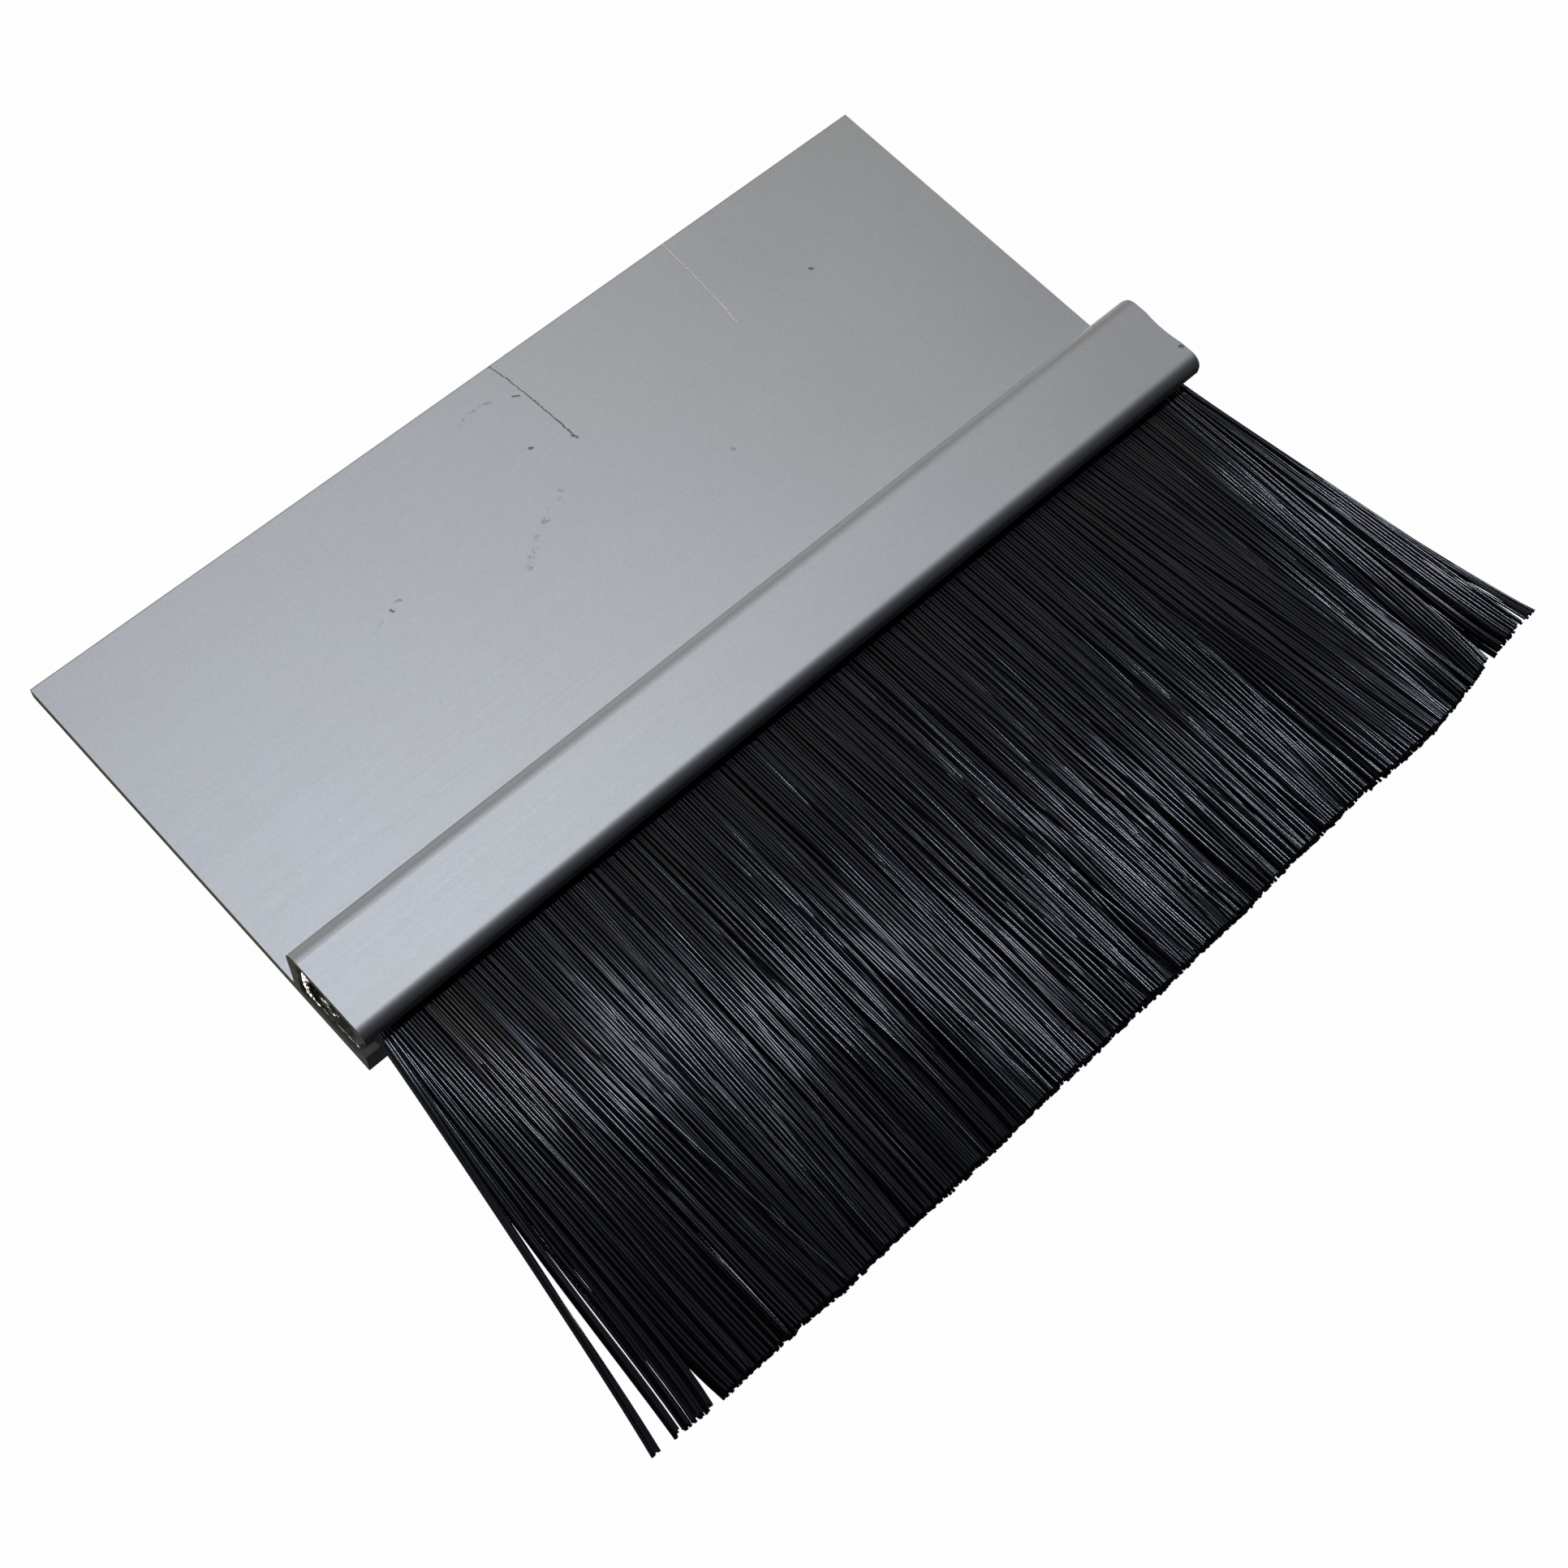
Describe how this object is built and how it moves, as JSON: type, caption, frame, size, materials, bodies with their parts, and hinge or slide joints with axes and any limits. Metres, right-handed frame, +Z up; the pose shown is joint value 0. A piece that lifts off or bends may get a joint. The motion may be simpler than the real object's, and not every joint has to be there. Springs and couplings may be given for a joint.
{
  "type": "door sweep",
  "caption": "Brush door sweep: satin aluminium carrier with a wide flat flange and a C-shaped channel that holds a slide-in strip brush of long black filaments.",
  "frame": {"origin": "centre of the carrier's flat mounting face", "axes": "+X along the sweep, +Y out of the mounting face towards the door, +Z up: flange above, filaments below"},
  "size_m": [0.1622, 0.014, 0.1314],
  "materials": {
    "carrier_aluminium": "satin anodised extrusion, fine lines along its length",
    "galvanised_sheet": "galvanised, dull with bright cut ends",
    "galvanised_wire": "galvanised wire",
    "black_filament": "extruded black nylon or polypropylene filament, semi-gloss along its length"
  },
  "bodies": {
    "carrier": {"carrier_extrusion": "carrier_aluminium"},
    "brush_strip": {"backing_channel": "galvanised_sheet", "core_wire": "galvanised_wire", "filament_root_1": "black_filament", "filament_root_2": "black_filament", "filament_root_3": "black_filament", "filament_root_4": "black_filament", "filament_root_5": "black_filament"},
    "filament_bank_1": {"filament_group_01": "black_filament", "filament_group_02": "black_filament", "filament_group_03": "black_filament", "filament_group_04": "black_filament", "loose_strand_left_outer": "black_filament", "loose_strand_left_inner": "black_filament"},
    "filament_bank_2": {"filament_group_05": "black_filament", "filament_group_06": "black_filament", "filament_group_07": "black_filament", "filament_group_08": "black_filament"},
    "filament_bank_3": {"filament_group_09": "black_filament", "filament_group_10": "black_filament", "filament_group_11": "black_filament", "filament_group_12": "black_filament"},
    "filament_bank_4": {"filament_group_13": "black_filament", "filament_group_14": "black_filament", "filament_group_15": "black_filament", "filament_group_16": "black_filament"},
    "filament_bank_5": {"filament_group_17": "black_filament", "filament_group_18": "black_filament", "filament_group_19": "black_filament", "filament_group_20": "black_filament", "loose_strand_right": "black_filament"}
  },
  "joints": [
    {"name": "brush_slide", "type": "slide", "parent": "carrier", "child": "brush_strip", "axis": [1, 0, 0], "range_m": [-0.14, 0]},
    {"name": "bank_1_flex", "type": "hinge", "parent": "brush_strip", "child": "filament_bank_1", "pos_m": [-0.0581, -0.00745, -0.03835], "axis": [1, 0, 0], "range_deg": [-40, 40], "stiffness_Nm_per_rad": 0.1},
    {"name": "bank_2_flex", "type": "hinge", "parent": "brush_strip", "child": "filament_bank_2", "pos_m": [-0.0291, -0.00745, -0.03835], "axis": [1, 0, 0], "range_deg": [-40, 40], "stiffness_Nm_per_rad": 0.1},
    {"name": "bank_3_flex", "type": "hinge", "parent": "brush_strip", "child": "filament_bank_3", "pos_m": [-0.0001, -0.00745, -0.03835], "axis": [1, 0, 0], "range_deg": [-40, 40], "stiffness_Nm_per_rad": 0.1},
    {"name": "bank_4_flex", "type": "hinge", "parent": "brush_strip", "child": "filament_bank_4", "pos_m": [0.0289, -0.00745, -0.03835], "axis": [1, 0, 0], "range_deg": [-40, 40], "stiffness_Nm_per_rad": 0.1},
    {"name": "bank_5_flex", "type": "hinge", "parent": "brush_strip", "child": "filament_bank_5", "pos_m": [0.0579, -0.00745, -0.03835], "axis": [1, 0, 0], "range_deg": [-40, 40], "stiffness_Nm_per_rad": 0.1}
  ]
}
